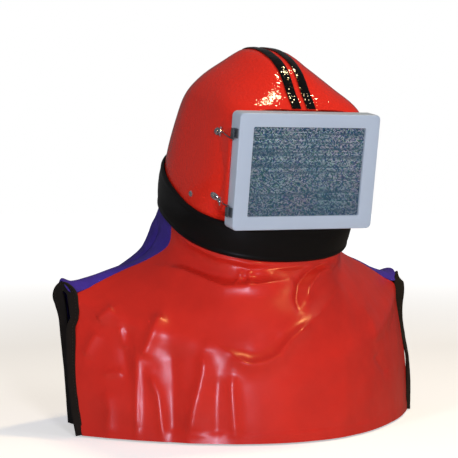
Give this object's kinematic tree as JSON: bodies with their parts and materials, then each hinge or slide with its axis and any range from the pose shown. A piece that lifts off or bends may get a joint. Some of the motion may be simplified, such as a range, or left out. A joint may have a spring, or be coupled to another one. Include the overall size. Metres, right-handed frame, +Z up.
{
  "type": "protective helmet",
  "caption": "Hooded blasting helmet: hard domed shell with a framed mesh window held by wire catches, a rubber rim band and a cloth shoulder cape that hangs from it.",
  "frame": {"origin": "head seat: the point under the crown where the top of the wearer's head bears", "axes": "+Z up as worn, -Y the way the wearer faces, +X the wearer's left; the helmet is bowed 10 degrees about the origin"},
  "size_m": [0.5252, 0.3575, 0.5158],
  "materials": {
    "shell_red": "glossy moulded red",
    "strip_black": "glossy black",
    "frame_grey": "satin pale grey",
    "screen_wire": "woven wire",
    "pane_clear": "clear",
    "band_rubber": "satin black",
    "chrome": "bright plated",
    "dark_steel": "dark plated",
    "cape_red": "coated, glossy",
    "cape_blue": "matte cloth",
    "binding_black": "matte cloth"
  },
  "bodies": {
    "root": {"shell": "shell_red", "stripe_right": "strip_black", "stripe_left": "strip_black", "window_frame": "frame_grey", "window_screen": "screen_wire", "window_pane": "pane_clear", "rim_band": "band_rubber", "rivet_right": "chrome", "rivet_left": "chrome", "catch_upper_right_plate": "chrome", "catch_upper_right_clip": "dark_steel", "catch_upper_right_wire": "dark_steel", "catch_lower_right_plate": "chrome", "catch_lower_right_clip": "dark_steel", "catch_lower_right_wire": "dark_steel", "catch_upper_left_plate": "chrome", "catch_upper_left_clip": "dark_steel", "catch_upper_left_wire": "dark_steel", "catch_lower_left_plate": "chrome", "catch_lower_left_clip": "dark_steel", "catch_lower_left_wire": "dark_steel", "cape_front": "cape_red", "cape_back": "cape_blue", "binding_right": "binding_black", "binding_left": "binding_black"}
  },
  "joints": []
}
